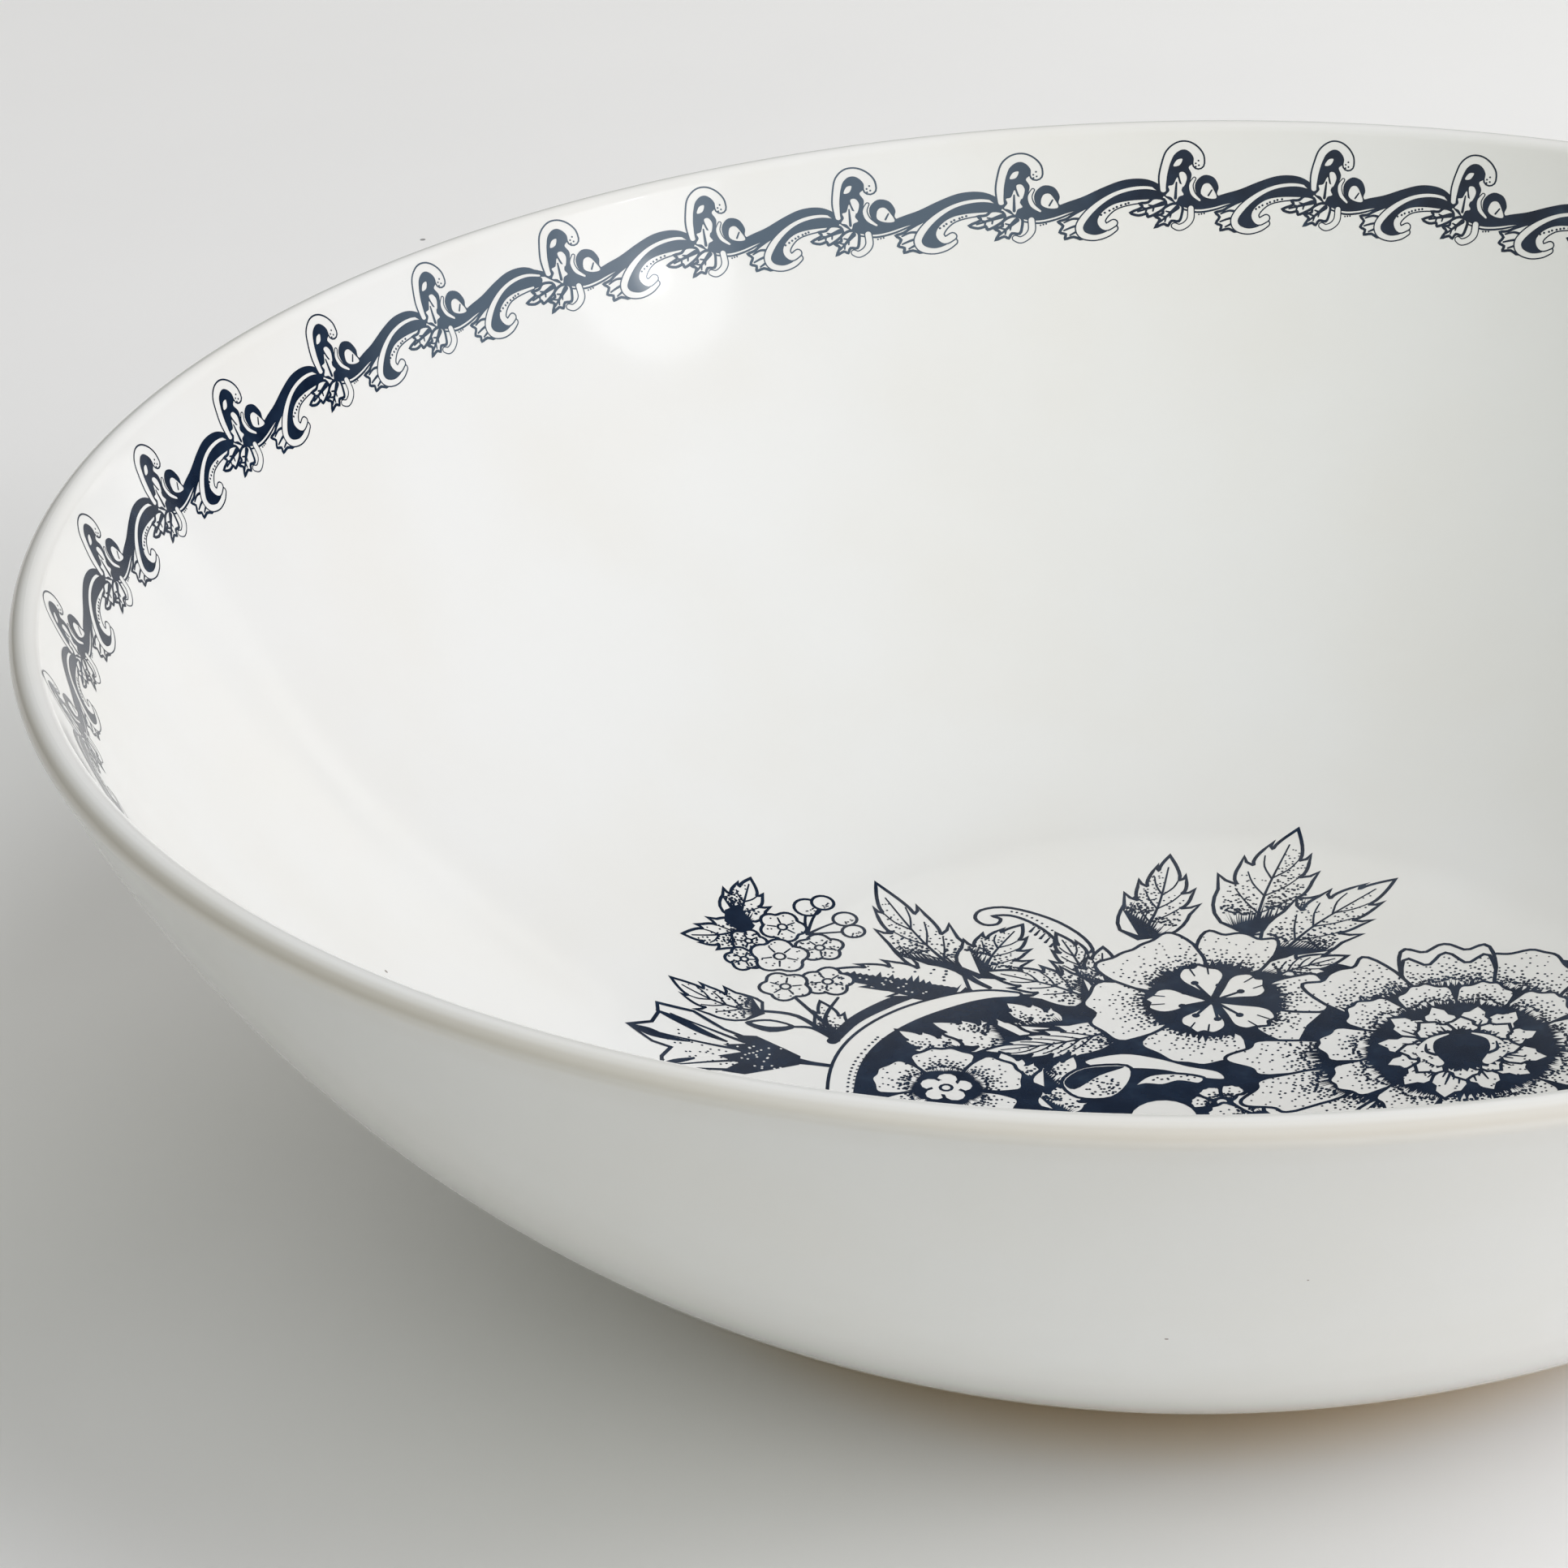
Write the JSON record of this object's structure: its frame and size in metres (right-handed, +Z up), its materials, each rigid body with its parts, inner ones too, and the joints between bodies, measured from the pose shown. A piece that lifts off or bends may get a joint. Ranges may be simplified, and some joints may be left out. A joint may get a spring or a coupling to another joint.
{
  "type": "serving bowl",
  "caption": "Round porcelain serving bowl on a low foot ring, with a scroll border under the lip and a flower bouquet in the well.",
  "frame": {"origin": "centre of the foot ring, on the plane that the bowl stands on", "axes": "+Z up along the bowl's axis; +X to the right and +Y away for someone looking at the bouquet the right way up"},
  "size_m": [0.29, 0.29, 0.092],
  "materials": {
    "biscuit": "unglazed matt",
    "glaze": "gloss",
    "transfer": "gloss"
  },
  "bodies": {
    "root": {"bowl_body": "biscuit", "interior_glaze": "glaze", "exterior_glaze": "glaze", "foot_recess_glaze": "glaze", "border_transfer_a": "transfer", "border_transfer_b": "transfer", "border_transfer_c": "transfer", "border_transfer_d": "transfer", "bouquet_transfer": "transfer"}
  },
  "joints": []
}
